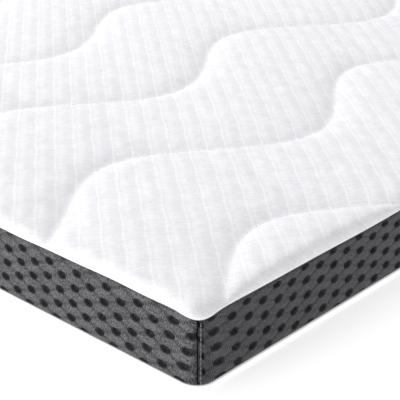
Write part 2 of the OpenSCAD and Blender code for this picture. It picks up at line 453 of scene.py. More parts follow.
# ---------------------------------------------------------------- threads and coils
def ring_quads(rings, n):
    """The quads between rings of n points each, from the first ring to the last."""
    quads = []
    for r in range(rings - 1):
        for i in range(n):
            j = (i + 1) % n
            quads.append((r * n + i, r * n + j, (r + 1) * n + j, (r + 1) * n + i))
    return quads


def arches(name, starts, alongs, outs, path, radius, material, sides=6):
    """Many small bent rods, one mesh: stitches, or the turns of a zip's coil.

    Each rod runs from its start along its own vector and rises outwards by the
    path's heights; path holds (share of the run, height) pairs.
    """
    starts, alongs, outs = (np.asarray(v, float) for v in (starts, alongs, outs))
    length = np.linalg.norm(alongs, axis=1, keepdims=True)
    ahead = alongs / length
    side = np.cross(ahead, outs)
    line = np.array(path, float)
    centre = starts[:, None] + alongs[:, None] * line[None, :, :1] + outs[:, None] * line[None, :, 1:]
    run = np.gradient(centre, axis=1)
    run /= np.linalg.norm(run, axis=2, keepdims=True)
    up = np.cross(side[:, None], run)
    around = np.arange(sides) * 2 * math.pi / sides
    thick = np.full(len(line), radius)
    thick[[0, -1]] *= 0.6
    offset = up[:, :, None] * np.cos(around)[:, None] + side[:, None, None] * np.sin(around)[:, None]
    points = centre[:, :, None] + offset * thick[:, None, None]
    count = len(line) * sides
    quads = ring_quads(len(line), sides)
    last = (len(line) - 1) * sides
    for i in range(1, sides - 2, 2):
        quads.append((0, i + 2, i + 1, i))
        quads.append((last, last + i, last + i + 1, last + i + 2))
    faces = np.array(quads)[None] + np.arange(len(starts))[:, None, None] * count
    return new_mesh(name, points.reshape(-1, 3), faces.reshape(-1, 4), material)


SEAM_PITCH = 4 * MM
STITCH_PATH = ((0.0, -0.5 * MM), (0.12, 0.0), (0.5, 0.12 * MM), (0.88, 0.0), (1.0, -0.5 * MM))


def stitch_row(points, outs, share=0.86):
    """Starts, runs and outward directions of stitches from point to point."""
    a, b = points[:-1], points[1:]
    return a, (b - a) * share, outs[:-1]


def unbroken(row):
    """A row without the long stitches that would bridge a gap."""
    near = np.linalg.norm(row[1], axis=1) < 2 * SEAM_PITCH
    return [part[near] for part in row]


def sewn(name, rows, radius, material):
    """One mesh of stitches, from rows of starts, runs and outward directions."""
    parts = (np.concatenate(part) for part in zip(*rows))
    return arches(name, *parts, STITCH_PATH, radius, material)


def at_places(places, depth, z):
    """Points at (side, u) places, and the directions outward from them."""
    points = np.array([on_side(side, u, depth, z) for side, u in places])
    outer = np.array([on_side(side, u, depth - MM, z) for side, u in places])
    return points, (outer - points) / MM


def outline_points(places, depth, z):
    """The same on the settled cover."""
    points, outs = at_places(places, depth, z)
    return settle(points), outs


def sweep(name, places, profile, material):
    """A strip along the outline with a closed cross-section of (depth, z) pairs."""
    rings = np.array([[on_side(side, u, d, z) for d, z in profile] for side, u in places])
    n, m = rings.shape[:2]
    ends = [list(range(m))[::-1], list(range((n - 1) * m, n * m))]
    obj = new_mesh(name, rings.reshape(-1, 3), ring_quads(n, m) + ends, material)
    walk = np.arange(n) * np.linalg.norm(rings[1, 0] - rings[0, 0])
    set_uv(obj, np.stack([np.repeat(walk, m), rings[:, :, 2].ravel()], -1))
    return obj


def zip_places(step, end):
    """(side, u) places along the zip, from the front left corner to the back right."""
    places = []
    left = "left", HALF_L - end, -side_reach("left")
    back = "back", side_reach("back"), -(HALF_W - end)
    for side, first, last in (left, back):
        n = round(abs(last - first) / step)
        places += [(side, first + (last - first) * (i + 0.5) / n) for i in range(n)]
    return places


# ---------------------------------------------------------------- materials
class Surface:
    """A material in the making, with short names for the nodes that it uses."""

    def __init__(self, name, color, roughness, **values):
        self.material = bpy.data.materials.new(name)
        self.material.use_nodes = True
        self.tree = self.material.node_tree
        self.inputs = self.tree.nodes["Principled BSDF"].inputs
        self.inputs["Base Color"].default_value = (*color, 1)
        self.inputs["Roughness"].default_value = roughness
        for key, value in values.items():
            self.inputs[key.replace("_", " ")].default_value = value

    def node(self, kind, *links, **values):
        """Adds a node; links are (input, socket or value) pairs, values are settings."""
        made = self.tree.nodes.new("ShaderNode" + kind)
        for key, value in values.items():
            setattr(made, key, value)
        for key, value in links:
            if isinstance(value, bpy.types.NodeSocket):
                self.tree.links.new(value, made.inputs[key])
            else:
                made.inputs[key].default_value = value
        return made.outputs

    def calc(self, operation, a, b=0.0, c=0.0):
        return self.node("Math", (0, a), (1, b), (2, c), operation=operation)[0]

    def total(self, *terms, start=0.0):
        """The sum of (value, weight) terms."""
        for value, weight in terms:
            start = self.calc("MULTIPLY_ADD", value, weight, start)
        return start

    def ranged(self, value, low, high, to_low=0.0, to_high=1.0, kind="LINEAR"):
        """Takes low to high onto another range, from 0 to 1 unless given."""
        ends = ("From Min", low), ("From Max", high), ("To Min", to_low), ("To Max", to_high)
        return self.node("MapRange", ("Value", value), *ends, interpolation_type=kind)[0]

    def cloth(self):
        """Sockets for the place on the cloth in metres: a vector, and its two parts."""
        place = self.node("UVMap", uv_map="cloth")[0]
        parts = self.node("SeparateXYZ", ("Vector", place))
        return place, parts[0], parts[1]

    def solid(self):
        """The place on a piece in metres, for materials that need no cloth."""
        return self.node("TexCoord")["Object"]

    def noise(self, place, scale, detail):
        """Noise whose scale is one number, or one for each axis."""
        if isinstance(scale, tuple):
            place = self.node("VectorMath", (0, place), (1, (*scale, 1.0)[:3]), operation="MULTIPLY")[0]
            scale = 1.0
        return self.node("TexNoise", ("Vector", place), ("Scale", scale), ("Detail", detail))["Fac"]

    def wave(self, value, length):
        """A sine of the given wavelength, from -1 to 1."""
        return self.calc("SINE", self.calc("MULTIPLY", value, 2 * math.pi / length))

    def turned(self, x, y, angle, shift=0.0):
        """The coordinate across lines that are turned by an angle."""
        return self.total((x, math.cos(angle)), (y, math.sin(angle)), start=shift)

    def groove(self, cells, width):
        """1 at whole numbers of cells and 0 away from them; width is in cells."""
        return self.ranged(self.calc("PINGPONG", cells, 0.5), 0.0, width, 1.0, 0.0, "SMOOTHSTEP")

    def blend(self, share, a, b):
        """A mix of two colours, each a socket or three numbers."""
        a, b = ((*c, 1) if isinstance(c, tuple) else c for c in (a, b))
        return self.node("Mix", ("Factor", share), (6, a), (7, b), data_type="RGBA")[2]

    def paint(self, color):
        self.tree.links.new(color, self.inputs["Base Color"])

    def tint(self, value, low, high, color_low, color_high):
        """Colours the surface by where a value lies between low and high."""
        self.paint(self.blend(self.ranged(value, low, high), color_low, color_high))

    def bump(self, height, distance, strength=1.0):
        """Adds relief, and hands over the finished material."""
        links = ("Height", height), ("Distance", distance), ("Strength", strength)
        self.tree.links.new(self.node("Bump", *links)[0], self.inputs["Normal"])
        return self.material


def shade(color, share):
    return tuple(min(1.0, share * c) for c in color)


def face_knit(name, color, dark):
    """White double knit: ribs, a crepe that runs across them, small loops, mottle."""
    s = Surface(name, color, 0.9, Sheen_Weight=0.08, Sheen_Roughness=0.5, Specular_IOR_Level=0.2)
    place, x, y = s.cloth()
    u = s.turned(x, y, CELL_TURN, CELL_PHASE + CELL_ORIGIN)
    v = s.turned(x, y, CELL_TURN + math.pi / 2)
    sway = s.calc("SINE", s.calc("MULTIPLY", v, CELL_WANDER_TURNS / CELL))
    cells = s.calc("FRACT", s.total((sway, CELL_WANDER), start=s.calc("DIVIDE", u, CELL)))
    # The ribs' profile as in shingle(), a little crisper.
    rise = s.ranged(cells, 0.0, 0.7 * RIB_RISE, kind="SMOOTHSTEP")
    ribs = s.calc("MULTIPLY", rise, s.calc("SUBTRACT", 1.0, cells))
    crepe = s.noise(s.node("CombineXYZ", ("X", u), ("Y", v))[0], (130, 420), 3.0)
    fuzz = s.noise(place, (800, 800), 3.0)
    mottle = s.noise(place, (60, 60), 4.0)
    s.tint(s.total((fuzz, 0.35), (mottle, 0.3), (crepe, 0.35)), 0.38, 0.62, dark, color)
    relief = s.total((fuzz, 0.45), (crepe, 0.8), (mottle, 0.6), (ribs, 0.8))
    return s.bump(relief, 0.5 * MM, 0.9)


def plain_knit(name, color, dark, loop):
    """Jersey: rows of small loops, with a faint mottle."""
    s = Surface(name, color, 0.9, Sheen_Weight=0.25, Sheen_Roughness=0.5, Specular_IOR_Level=0.2)
    place, x, y = s.cloth()
    wales = s.calc("ABSOLUTE", s.wave(x, 2 * loop))
    fuzz = s.noise(place, (900, 900), 3.0)
    s.tint(s.total((fuzz, 0.3), (s.noise(place, 35.0, 4.0), 0.7)), 0.35, 0.65, dark, color)
    return s.bump(s.total((s.wave(y, 0.8 * loop), 0.25), (wales, 0.6), (fuzz, 0.4)), 0.25 * MM, 0.8)


def mesh_cloth(name, color, dark, lattice):
    """Spacer mesh: fine knit, with rows of small stitches that join the holes, and painted highlight specks
    where fibres glint.
    """
    s = Surface(name, color, 0.7, Sheen_Weight=0.3, Sheen_Roughness=0.4, Specular_IOR_Level=0.35)
    place, x, y = s.cloth()
    knit = s.calc("MULTIPLY", s.wave(x, 0.95 * MM), s.wave(y, 0.8 * MM))
    grain = s.noise(place, (720, 620), 3.0)
    stitches = 0.0
    for a, b, pitch in lattice.links():
        line = s.total((x, a), (y, b), start=-a * lattice.start[0] - b * lattice.start[1])
        walk = s.total((x, -b * pitch), (y, a * pitch))
        dots = s.ranged(s.wave(walk, 1.5 * MM), -0.7, 0.1)
        stitches = s.calc("MAXIMUM", stitches, s.calc("MULTIPLY", s.groove(line, 2.3 * MM / pitch), dots))
    tone = s.total((s.noise(place, 70.0, 3.0), 0.25), (grain, 0.75))
    plain = s.blend(s.ranged(tone, 0.4, 0.6), dark, color)
    # Painted highlight: scattered specks of the colour brightened 2.6 times, as fibres glint in grazing
    # light.
    painted_glints = s.ranged(s.noise(place, (900, 1000), 0.0), 0.64, 0.76, 0.0, 0.5)
    plain = s.blend(painted_glints, plain, shade(color, 2.6))
    s.paint(s.blend(stitches, plain, shade(dark, 0.2)))
    return s.bump(s.calc("SUBTRACT", s.total((knit, 0.25), (grain, 0.9)), stitches), 0.3 * MM, 0.9)


def mesh_pocket(name, color, light):
    """The inside of a hole: pile threads between the mesh's two faces, paler
    where the top seam presses the cloth together."""
    s = Surface(name, color, 0.8, Specular_IOR_Level=0.25)
    place, x, y = s.cloth()
    threads = s.noise(place, (1700, 260), 2.0)
    deep = s.blend(s.ranged(threads, 0.35, 0.65), shade(color, 0.3), color)
    s.paint(s.blend(s.ranged(y, SEAM_Z - 9 * MM, SEAM_Z - 4 * MM), deep, light))
    return s.bump(threads, 0.6 * MM)


def thread(name, color):
    """Twisted sewing thread."""
    s = Surface(name, color, 0.6, Sheen_Weight=0.3)
    links = ("Vector", s.solid()), ("Scale", 700.0), ("Distortion", 2.0)
    twist = s.node("TexWave", *links, wave_type="BANDS", bands_direction="DIAGONAL")["Fac"]
    s.tint(twist, 0.0, 1.0, shade(color, 0.7), color)
    return s.bump(twist, 0.1 * MM)


def woven_tape(name, color):
    """Zip tape: a fine herringbone."""
    s = Surface(name, color, 0.7, Sheen_Weight=0.3)
    place, x, y = s.cloth()
    twill = s.wave(s.calc("ADD", x, s.calc("PINGPONG", y, 1.2 * MM)), 0.9 * MM)
    relief = s.total((twill, 0.4), (s.noise(place, (1500, 1500), 2.0), 0.5))
    s.tint(relief, -0.2, 0.6, shade(color, 0.45), color)
    return s.bump(relief, 0.2 * MM)


def moulded(name, color, roughness):
    """Drawn nylon or moulded plastic, with a slight unevenness."""
    s = Surface(name, color, roughness, Specular_IOR_Level=0.5)
    uneven = s.noise(s.solid(), 400.0, 3.0)
    s.tint(uneven, 0.3, 0.7, shade(color, 0.8), color)
    return s.bump(uneven, 0.05 * MM)


def plated(name, color):
    """Plated zinc: brushed lightly, duller and paler where it has worn."""
    s = Surface(name, color, 0.3, Metallic=1.0)
    worn = s.noise(s.solid(), 260.0, 4.0)
    s.tint(worn, 0.45, 0.65, color, shade(color, 1.25))
    s.tree.links.new(s.ranged(worn, 0.3, 0.7, 0.24, 0.42), s.inputs["Roughness"])
    return s.bump(s.noise(s.solid(), (3000, 300, 3000), 2.0), 0.02 * MM)


def satin(name, color):
    """Woven satin ribbon for the blank label."""
    s = Surface(name, color, 0.45, Sheen_Weight=0.4, Specular_IOR_Level=0.5)
    place, x, y = s.cloth()
    weave = s.calc("MULTIPLY", s.wave(x, 0.5 * MM), s.wave(y, 0.35 * MM))
    slub = s.noise(place, (120, 2200), 2.0)
    s.tint(slub, 0.35, 0.65, shade(color, 0.9), color)
    return s.bump(s.total((weave, 0.3), start=slub), 0.08 * MM)


def foam(name, color, pore):
    """Open-cell foam: pores of one size among a fine skin, and a faint mottle."""
    s = Surface(
        name, color, 0.95, Subsurface_Weight=0.08, Subsurface_Scale=0.004, Specular_IOR_Level=0.15
    )
    place = s.solid()
    pores = s.node("TexVoronoi", ("Vector", place), ("Scale", 1 / pore))["Distance"]
    s.tint(s.total((s.noise(place, 30.0, 3.0), 0.5), start=pores), 0.2, 0.8, color, shade(color, 0.75))
    return s.bump(s.calc("SUBTRACT", 1.0, pores), 0.4 * MM)


def fibres(name, color):
    """Loose polyester wadding or bonded scrim: fine crossing fibres."""
    s = Surface(name, color, 0.95, Sheen_Weight=0.5)
    crossing = (s.noise(s.solid(), scale, 4.0) for scale in ((900, 120, 400), (140, 1000, 400)))
    both = s.calc("MAXIMUM", *crossing)
    s.tint(both, 0.4, 0.7, shade(color, 0.85), color)
    return s.bump(both, 0.5 * MM)


# ---------------------------------------------------------------- spacer mesh
class Lattice:
    """Where the holes of a mesh strip lie: column pitch, pitch down a column,
    how far a column leans, and how far its rows drop from column to column."""

    def __init__(self, pitch_u, pitch_v, lean, drop, start):
        self.row = np.array([pitch_u, -drop])
        self.column = np.array([lean, -pitch_v])
        self.start = np.array(start)
        self.other = self.row + (self.column if drop < 0 else -self.column)

    def links(self):
        """The two families of lines that join the holes: (a, b, pitch), where
        a u + b v is a whole number on each line and pitch is their distance."""
        found = []
        for along in (self.row, self.other):
            area = along[0] * self.column[1] - along[1] * self.column[0]
            a, b = -along[1] / area, along[0] / area
            found.append((a, b, 1 / math.hypot(a, b)))
        return found

    def outline(self, parts):
        """The outline of one hole's cell: parts points on each of its six edges."""
        six = [self.row, self.other, self.column, -self.row, -self.other, -self.column]
        around = sorted(six, key=lambda p: math.atan2(p[1], p[0]))
        corners = []
        for p, q in zip(around, around[1:] + around[:1]):
            both = np.array([p, q])
            corners.append(np.linalg.solve(both, (both**2).sum(1) / 2))
        pairs = zip(corners, corners[1:] + corners[:1])
        return np.array([a + (b - a) * i / parts for a, b in pairs for i in range(parts)])

    def centres(self, u_low, u_high, v_low, v_high):
        """Every hole whose cell touches the given stretch of cloth."""
        corners = [(u, v) for u in (u_low, u_high) for v in (v_low, v_high)]
        places = (np.array(corners) - self.start) @ np.linalg.inv(np.array([self.row, self.column]))
        low, high = np.floor(places.min(0)) - 1, np.ceil(places.max(0)) + 1
        i, j = np.meshgrid(np.arange(low[0], high[0] + 1), np.arange(low[1], high[1] + 1))
        found = self.start + i.reshape(-1, 1) * self.row + j.reshape(-1, 1) * self.column
        u, v = found.T
        reach = 16 * MM
        keep = (u > u_low - reach) & (u < u_high + reach) & (v > v_low - reach) & (v < v_high + reach)
        return found[keep]


HOLE_HALF = (4.05 * MM, 2.75 * MM)
CELL_PARTS = 4
# Rings of one hole, from its cell's outline in to the floor of its pocket. The
# first ones are a share of the way to the rim; the others are a size against
# the hole, with a depth in millimetres.
CELL_RINGS = (0.0, 0.5)
HOLE_RINGS = ((1.3, 0.0), (1.13, -0.12), (1.0, 0.12), (0.93, 0.8), (0.88, 1.8), (0.8, 2.9))
FLOOR_DEPTH = 3.1
PRESSED_BAND = 4.2 * MM
PRESSED_DEPTH = 0.12


def perforated(lattice, u_low, u_high, v_low, v_high, pressed):
    """A flat cloth of cells with pockets: points (u, depth, v), faces and, for
    each face, whether it belongs to a pocket. Holes above the height pressed
    are closed by the seam."""
    outline = lattice.outline(CELL_PARTS)
    n = len(outline)
    turn = np.arctan2(outline[:, 1] / HOLE_HALF[1], outline[:, 0] / HOLE_HALF[0])
    hole = np.stack([HOLE_HALF[0] * np.cos(turn), HOLE_HALF[1] * np.sin(turn)], -1)
    rings = []
    for share in CELL_RINGS:
        flat = outline + (hole * HOLE_RINGS[0][0] - outline) * share
        rings.append(np.column_stack([flat, np.zeros(n)]))
    for size, depth in HOLE_RINGS:
        rings.append(np.column_stack([hole * size, np.full(n, depth * MM)]))
    count = len(rings) * n + 1
    cell = np.concatenate([*rings, [[0, 0, FLOOR_DEPTH * MM]]])
    last = count - 1
    quads = ring_quads(len(rings), n)
    fan = [(last - n + i, last - n + (i + 1) % n, last) for i in range(n)]
    centres = lattice.centres(u_low, u_high, v_low, v_high)
    points = np.repeat(cell[None], len(centres), 0)
    points[:, :, :2] += centres[:, None]
    closed = centres[:, 1] > pressed
    points[closed, :, 2] *= PRESSED_DEPTH
    points = points.reshape(-1, 3)
    shift = np.arange(len(centres))[:, None, None] * count
    _, first, back = np.unique(
        np.round(points / (0.02 * MM)).astype(np.int64), axis=0, return_index=True, return_inverse=True
    )
    back = back.ravel()
    quads = back[(np.array(quads)[None] + shift).reshape(-1, 4)]
    fan = back[(np.array(fan)[None] + shift).reshape(-1, 3)]
    is_wall = np.arange((len(rings) - 1) * n) >= (len(CELL_RINGS) + 1) * n
    walls = (is_wall[None] & ~closed[:, None]).ravel()
    in_pocket = np.concatenate([walls, np.repeat(~closed, n)])
    return points[first][:, [0, 2, 1]], quads.tolist() + fan.tolist(), in_pocket


def pull_short(d):
    """How far the corner seams pull a short strip's cloth outwards and up."""
    return 11 * MM * np.exp(-d / (17 * MM)), 1.2 * MM * fade(d, 17 * MM)


def pull_long(d):
    """The same for a long strip, whose cloth was sewn on less evenly."""
    along = 0.9 * fade(d - 98 * MM, 18 * MM) + 4.2 * fade(d - 12 * MM, 9 * MM) - 3.0 * fade(d, 5 * MM)
    up = 5.5 * fade(d, 20 * MM) + 4.1 * smooth(60 * MM, 118 * MM, d)
    return MM * along, MM * up


def drift(s, v, reach):
    """How far the cloth at (s, v) is pulled along and up from an even lattice."""
    pull = pull_short if reach < 0.5 * (HALF_W + HALF_L) else pull_long
    along, up = pull(np.maximum(reach - np.abs(s), 0))
    du = np.sign(s) * along
    du += MM * (0.5 * np.sin(s / 0.041 + v / 0.03) + 0.3 * np.sin(s / 0.019 - v / 0.022 + 1))
    dv = up + MM * (0.3 * np.sin(s / 0.033 + 2) + 0.25 * np.sin(s / 0.0147 + v / 0.025))
    return du, dv


def undrift(u, v, reach):
    """The even lattice's place of a point on the pulled cloth."""
    s, w = u, v
    for _ in range(24):
        du, dv = drift(s, w, reach)
        s, w = u - du, v - dv
    return s, w


def link_nearness(lattice, s, w, width):
    """1 on the lines that join the holes, fading to 0 away from them."""
    near = np.zeros_like(s)
    for a, b, pitch in lattice.links():
        t = a * (s - lattice.start[0]) + b * (w - lattice.start[1])
        away = np.abs(t - np.round(t)) * pitch
        near = np.maximum(near, fade(away, width))
    return near


def cut(form, axis, at, way, faces=None):
    """Cuts along a plane; way 1 or -1 drops what lies beyond it, 0 keeps both sides."""
    place, normal = Vector((0, 0, 0)), Vector((0, 0, 0))
    place[axis], normal[axis] = at, way or 1
    faces = form.faces[:] if faces is None else faces
    around = {*faces}
    for face in faces:
        around.update(face.edges)
        around.update(face.verts)
    bmesh.ops.bisect_plane(
        form, geom=list(around), plane_co=place, plane_no=normal, clear_outer=bool(way), dist=1e-7
    )


def open_window(form, low, high):
    """Takes the stretch between low and high out of the strip's foot, for the zip."""
    for axis, at in ((2, WINDOW_Z), (0, low), (0, high)):
        near = [f for f in form.faces if f.calc_center_median().z < WINDOW_Z + 14 * MM]
        cut(form, axis, at, 0, near)
    centres = [(face, face.calc_center_median()) for face in form.faces]
    gone = [face for face, centre in centres if centre.z < WINDOW_Z and low < centre.x < high]
    bmesh.ops.delete(form, geom=gone, context="FACES")


def close_back(form):
    """Folds every free edge back to the strip's inner face, and closes that."""
    rim = [e for e in form.edges if e.is_boundary]
    made = bmesh.ops.extrude_edge_only(form, edges=rim)["geom"]
    for v in made:
        if isinstance(v, bmesh.types.BMVert):
            v.co.y = BORDER_T
    edges = [e for e in made if isinstance(e, bmesh.types.BMEdge)]
    bmesh.ops.triangle_fill(form, edges=edges, use_beauty=True, normal=Vector((0, 1, 0)))
    bmesh.ops.recalc_face_normals(form, faces=form.faces[:])


# The seams fold the strips' edges in; the rows of stitches pull thin lines in.
SEAM_FOLD = 1.1 * MM
END_FOLD = 2.2 * SEAM_FOLD
FOLD_WIDTH = 0.5 * MM
LINK_SINK = 0.32 * MM
WINDOW_END = CORNER_R
WINDOWS = {
    "left": (-side_reach("left"), HALF_L - WINDOW_END),
    "back": (WINDOW_END - HALF_W, side_reach("back")),
}


def in_window(side, u):
    """Whether the zip lies at a place on a side."""
    return side in WINDOWS and WINDOWS[side][0] < u < WINDOWS[side][1]


def border_strip(side, lattice, materials):
    """One strip of the border: pockets, folded ends and a closed back."""
    reach = side_reach(side)
    low, high = FOOT_Z - 0.3 * MM, SEAM_Z + 0.2 * MM
    margin = 20 * MM
    points, faces, in_pocket = perforated(
        lattice, -reach - margin, reach + margin, low - margin, high + margin, SEAM_Z - PRESSED_BAND
    )
    du, dv = drift(points[:, 0], points[:, 2], reach)
    points[:, 0] += du
    points[:, 2] += dv
    mesh = bpy.data.meshes.new("border_strip_" + side)
    mesh.from_pydata(points.tolist(), [], faces)
    mesh.polygons.foreach_set("material_index", in_pocket.astype(np.int32))
    form = bmesh.new()
    form.from_mesh(mesh)
    for axis, at, way in ((0, -reach, -1), (0, reach, 1), (2, low, -1), (2, high, 1)):
        cut(form, axis, at, way)
    fold_at = reach - FOLD_WIDTH
    cut(form, 0, -fold_at, 0)
    cut(form, 0, fold_at, 0)
    # Painted shadow: faces of the folded ends take the near-black third material, the crevice shade of the
    # corner seams.
    for face in form.faces:
        if abs(face.calc_center_median().x) > fold_at:
            face.material_index = 2
    if side in WINDOWS:
        open_window(form, *WINDOWS[side])
    close_back(form)
    form.to_mesh(mesh)
    form.free()
    obj = add_object(mesh.name, mesh, *materials)
    u, depth, v = get_points(obj).T
    s, w = undrift(u, v, reach)
    set_uv(obj, np.stack([s, w], -1))
    outer = depth < BORDER_T - 0.2 * MM
    open_share = smooth(0, 5 * MM, SEAM_Z - v) * smooth(0, 3 * MM, v - FOOT_Z)
    depth = depth * np.where(outer, 0.2 + 0.8 * open_share, 1)
    sunk = depth + LINK_SINK * link_nearness(lattice, s, w, 1.5 * MM) * (depth < 0.6 * MM)
    end = END_FOLD * fade(reach - np.abs(u), 1.1 * MM)
    seam = SEAM_FOLD * fade(np.minimum(high - v, v - low), 1.3 * MM)
    sunk += np.maximum(end, seam)
    if side in WINDOWS:
        inside = (u > WINDOWS[side][0]) & (u < WINDOWS[side][1])
        sunk += np.where(inside, SEAM_FOLD * fade(v - WINDOW_Z, 1.2 * MM), 0)
    depth = np.where(outer, np.minimum(sunk, BORDER_T - 0.4 * MM), depth)
    set_points(obj, settle(on_side(side, u, depth, v)))
    return obj


# ---------------------------------------------------------------- cover
FACE_T = 1.9 * MM
FACE_T_CREASE = 0.9 * MM
SCRIM_T = 0.4 * MM
EDGE_ROWS = np.array([0.12, 0.26, 0.4, 0.54, 0.67, 0.78, 0.87, 0.93, 0.97, 0.99, 1.0])
PLAIN_ROWS = np.array([0.3, 0.55, 0.75, 0.9, 1.0])


def face_thickness(x, y):
    return FACE_T_CREASE + (FACE_T - FACE_T_CREASE) * smooth(0, 8 * MM, quilt_distance(x, y))


def layered(name, material, grid, top, low, rings=()):
    """A settled shell between two heights over a panel_grid."""
    x, y, depth, faces, shape = grid
    return shell(name, settle(xyz(x, y, top)), settle(xyz(x, y, low)), faces, shape, material, rings)


def build_top(material):
    """The quilted knit face, a closed cloth that turns in under its own edge."""
    x, y, depth, faces, shape = panel_grid(2.1 * MM, EDGE_ROWS)
    height = top_height(x, y, depth)
    pull = FACE_T * (1 - smooth(0, 6 * MM, depth))
    inner = moved_in(xyz(x, y, height - face_thickness(x, y)), pull)
    inner[:, 2] = np.maximum(inner[:, 2], SEAM_Z + SCRIM_T + 0.2 * MM)
    hem = settle(moved_in(xyz(x, y, SEAM_Z - 0.2 * MM)[rim_loop(*shape)], 0.9 * MM))
    return shell("quilted_face", settle(xyz(x, y, height)), settle(inner), faces, shape, material, [hem])


def build_wadding(material):
    """Wadding between the face and the scrim, pinched thin along the quilting."""
    inset = 3 * MM
    grid = x, y, depth, *_ = panel_grid(6 * MM, PLAIN_ROWS, inset)
    top = top_height(x, y, depth + inset) - face_thickness(x, y) - 0.15 * MM
    low = SEAM_Z + SCRIM_T + 0.1 * MM
    return layered("quilt_wadding", material, grid, np.maximum(top, low + 0.3 * MM), low)


def build_scrim(material):
    """The thin backing that the quilting is sewn through."""
    grid = panel_grid(10 * MM, PLAIN_ROWS, 2.2 * MM)
    return layered("quilt_scrim", material, grid, SEAM_Z + SCRIM_T, SEAM_Z + 0.05 * MM)


BASE_EDGE = 3.2 * MM
LIP_T = 1.2 * MM
# The lip's rows: shares of its thickness in from the edge, heights from the foot.
LIP_ROWS = ((1.0, -0.6 * MM), (0.8, -0.1 * MM), (0.4, 0.1 * MM), (0.05, -0.4 * MM))


def rounding(depth, radius):
    """How far a rounded edge falls, as a share of its radius."""
    inside = np.clip(depth / radius, 0, 1)
    return 1 - np.sqrt(1 - (1 - inside) ** 2)


def build_base(material):
    """The white base, with a soft edge and a lip that turns up to the border."""
    x, y, depth, faces, shape = panel_grid(8 * MM, EDGE_ROWS)
    low = 0.75 * BASE_EDGE * rounding(depth, BASE_EDGE)
    away = smooth(0, 2 * BASE_EDGE, depth)
    over = moved_in(xyz(x, y, low + LIP_T * away), LIP_T * (1 - away))
    rim = rim_loop(*shape)
    rings = [moved_in(xyz(x, y, FOOT_Z + up)[rim], share * LIP_T) for share, up in LIP_ROWS]
    return shell("base_panel", over, xyz(x, y, low), faces, shape, material, rings)


def build_quilting(material):
    """Stitches along the bottoms of the creases."""
    rows = []
    for k in range(WAVE_LINES):
        y = np.linspace(-HALF_L + 4 * MM, HALF_L - 4 * MM, 20000)
        x = wave_x(k, y)
        walk = np.concatenate([[0], np.cumsum(np.hypot(np.diff(x), np.diff(y)))])
        y = np.interp(np.arange(0, walk[-1], SEAM_PITCH), walk, y)
        x = wave_x(k, y)
        depth = np.minimum(HALF_W - np.abs(x), HALF_L - np.abs(y))
        x, y, depth = (part[depth > 3 * MM] for part in (x, y, depth))
        points = settle(xyz(x, y, top_height(x, y, depth) + 0.05 * MM))
        rows.append(unbroken(stitch_row(points, np.tile((0.0, 0.0, 1.0), (len(points), 1)))))
    return sewn("quilting_stitches", rows, 0.22 * MM, material)


def build_seam(name, z, depth, material, skip=None):
    """A row of stitches round the cover, deep in a seam."""
    places = round_the_cover(SEAM_PITCH)
    row = stitch_row(*outline_points([*places, places[0]], depth, z))
    if skip:
        row = [part[[not skip(*place) for place in places]] for part in row]
    return sewn(name, [unbroken(row)], 0.28 * MM, material)


def build_corner_stitches(material):
    """Upright rows of stitches that close the border's four corner seams."""
    rows = []
    for side in SIDES:
        foot = WINDOW_Z if side == "left" else FOOT_Z
        z = np.arange(foot + 1 * MM, SEAM_Z - 0.5 * MM, 3.6 * MM)
        u = 1.9 * MM - side_reach(side)
        points, outer = (settle(on_side(side, u, depth * MM, z)) for depth in (0.1, -0.9))
        rows.append(stitch_row(points, (outer - points) / MM, 0.8))
    return sewn("corner_stitches", rows, 0.34 * MM, material)


# ---------------------------------------------------------------- zip
TAPE_T = 0.5 * MM
TAPE_CORD = 0.25 * MM
TOOTH_PITCH = 1.6 * MM
TOOTH_R = 0.46 * MM
COIL_OVERLAP = 0.3 * MM


def build_tape(name, edge, far, material):
    """Woven tape with a thicker cord along the edge that carries the coil."""
    near = edge + math.copysign(1.2 * MM, far - edge)
    out, back = TAPE_IN - TAPE_CORD, TAPE_IN + TAPE_T
    profile = [(out, edge), (out, near), (TAPE_IN, near), (TAPE_IN, far), (back, far), (back, edge)]
    if edge > far:
        profile.reverse()
    return sweep(name, zip_places(4 * MM, WINDOW_END), profile, material)


def build_coil(name, tape_edge, mid, lag, material):
    """A zip's coil: one bent tooth after another along the tape."""
    places = zip_places(TOOTH_PITCH, HALF_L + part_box(name)[0].y)
    places = [(side, u + lag * TOOTH_PITCH) for side, u in places]
    starts, outs = at_places(places, TAPE_IN, tape_edge)
    runs = at_places(places, TAPE_IN, mid)[0] - starts
    height = TAPE_IN - COIL_IN - TOOTH_R
    path = ((0, 0), (0.1, 0.75 * height), (0.35, height), (0.8, height), (1.0, 0.55 * height))
    return arches(name + "_teeth", starts, runs, outs, path, TOOTH_R, material)


def softened(name, node_name, width, material):
    """A copy of a CAD node with its edges rounded over."""
    form = bmesh.new()
    form.from_mesh(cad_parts[node_name].data)
    bmesh.ops.remove_doubles(form, verts=form.verts[:], dist=1e-6)
    bmesh.ops.dissolve_limit(form, angle_limit=math.radians(1), verts=form.verts[:], edges=form.edges[:])
    sharp = [e for e in form.edges if e.is_manifold and e.calc_face_angle(0) > math.radians(40)]
    bmesh.ops.bevel(
        form, geom=sharp, offset=width, segments=3, profile=0.5, affect="EDGES", clamp_overlap=True
    )
    mesh = bpy.data.meshes.new(name)
    form.to_mesh(mesh)
    form.free()
    return add_object(name, mesh, material)


